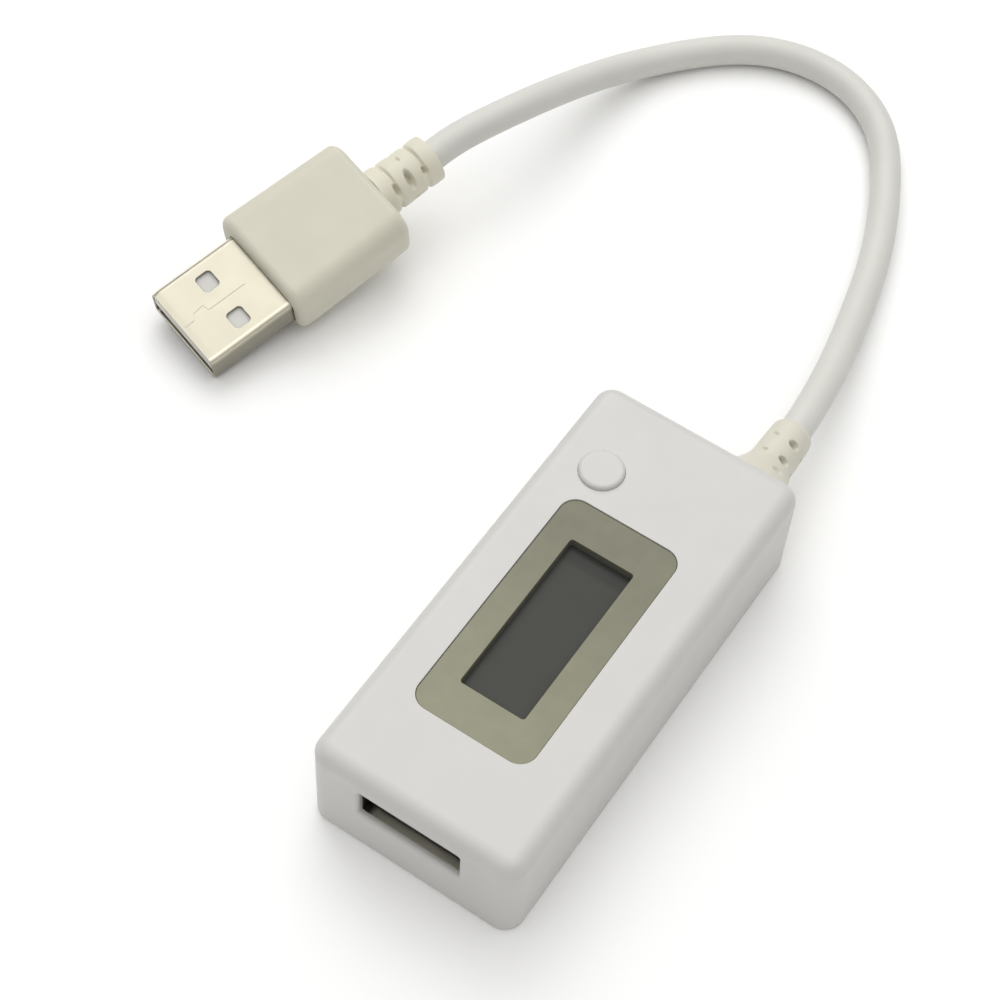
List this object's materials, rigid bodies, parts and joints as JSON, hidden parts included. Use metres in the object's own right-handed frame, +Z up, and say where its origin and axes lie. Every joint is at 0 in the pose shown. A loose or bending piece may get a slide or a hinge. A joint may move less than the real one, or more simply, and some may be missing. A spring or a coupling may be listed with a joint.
{
  "type": "usb power meter",
  "caption": "Small in-line USB power meter: a flat rounded housing with a recessed display, a round push button and a USB-A socket, and a short cord that ends in a USB-A plug.",
  "frame": {"origin": "middle of the housing's underside, on the surface that it lies on; the free cord and its pieces are left out of the measure", "axes": "+Z up through the display, +Y along the housing's length towards the cord; the socket faces -Y"},
  "size_m": [0.0786, 0.1238, 0.0145],
  "materials": {
    "housing_plastic": "satin white moulded plastic",
    "cream_plastic": "satin cream moulded plastic",
    "bezel_plastic": "satin grey-olive plastic",
    "display_film": "dark polarizing film",
    "display_glass": "clear flat glass",
    "natural_plastic": "plain white plastic",
    "elastomer": "soft pink silicone",
    "plated_steel": "bright plated sheet steel",
    "gold_plate": "gold-plated contact metal",
    "black_plastic": "black moulded plastic",
    "board_laminate": "green solder-masked laminate",
    "ceramic": "ceramic chip part",
    "cord_jacket": "smooth flexible vinyl jacket",
    "lead_red": "coloured lead insulation",
    "lead_white": "coloured lead insulation",
    "lead_green": "coloured lead insulation",
    "lead_black": "coloured lead insulation"
  },
  "bodies": {
    "housing": {"top_shell": "housing_plastic", "bottom_cover": "housing_plastic", "display_bezel": "bezel_plastic", "lcd_front_polarizer": "display_film", "lcd_front_glass": "display_glass", "lcd_rear_glass": "display_glass", "lcd_reflector": "display_film", "lcd_holder": "natural_plastic", "lcd_elastomer_left": "elastomer", "lcd_elastomer_right": "elastomer", "switch_base": "black_plastic", "switch_dome": "plated_steel", "switch_cover": "plated_steel", "circuit_board": "board_laminate", "controller_chip": "black_plastic", "memory_chip": "black_plastic", "voltage_regulator": "black_plastic", "shunt_resistor": "ceramic", "input_capacitor": "ceramic", "output_capacitor": "ceramic", "receptacle_shell": "plated_steel", "receptacle_insulator": "black_plastic", "receptacle_contact_1": "gold_plate", "receptacle_contact_2": "gold_plate", "receptacle_contact_3": "gold_plate", "receptacle_contact_4": "gold_plate", "meter_strain_relief": "cream_plastic", "lead_red": "lead_red", "lead_white": "lead_white", "lead_green": "lead_green", "lead_black": "lead_black", "cord": "cord_jacket", "plug_strain_relief": "cream_plastic", "plug_overmold": "cream_plastic", "plug_inner_mould": "natural_plastic", "plug_shell": "plated_steel", "plug_insulator": "natural_plastic", "plug_contact_1": "gold_plate", "plug_contact_2": "gold_plate", "plug_contact_3": "gold_plate", "plug_contact_4": "gold_plate"},
    "button": {"button_cap": "housing_plastic"},
    "plunger": {"switch_plunger": "black_plastic"}
  },
  "joints": [
    {"name": "button_press", "type": "slide", "parent": "housing", "child": "button", "axis": [0, 0, -1], "range_m": [0, 0.0004], "stiffness_N_per_m": 300, "springref_m": -0.001},
    {"name": "switch_press", "type": "slide", "parent": "housing", "child": "plunger", "axis": [0, 0, -1], "range_m": [0, 0.0004]}
  ],
  "couplings": [
    {"joint": "switch_press", "follows": "button_press", "ratio": 1}
  ]
}
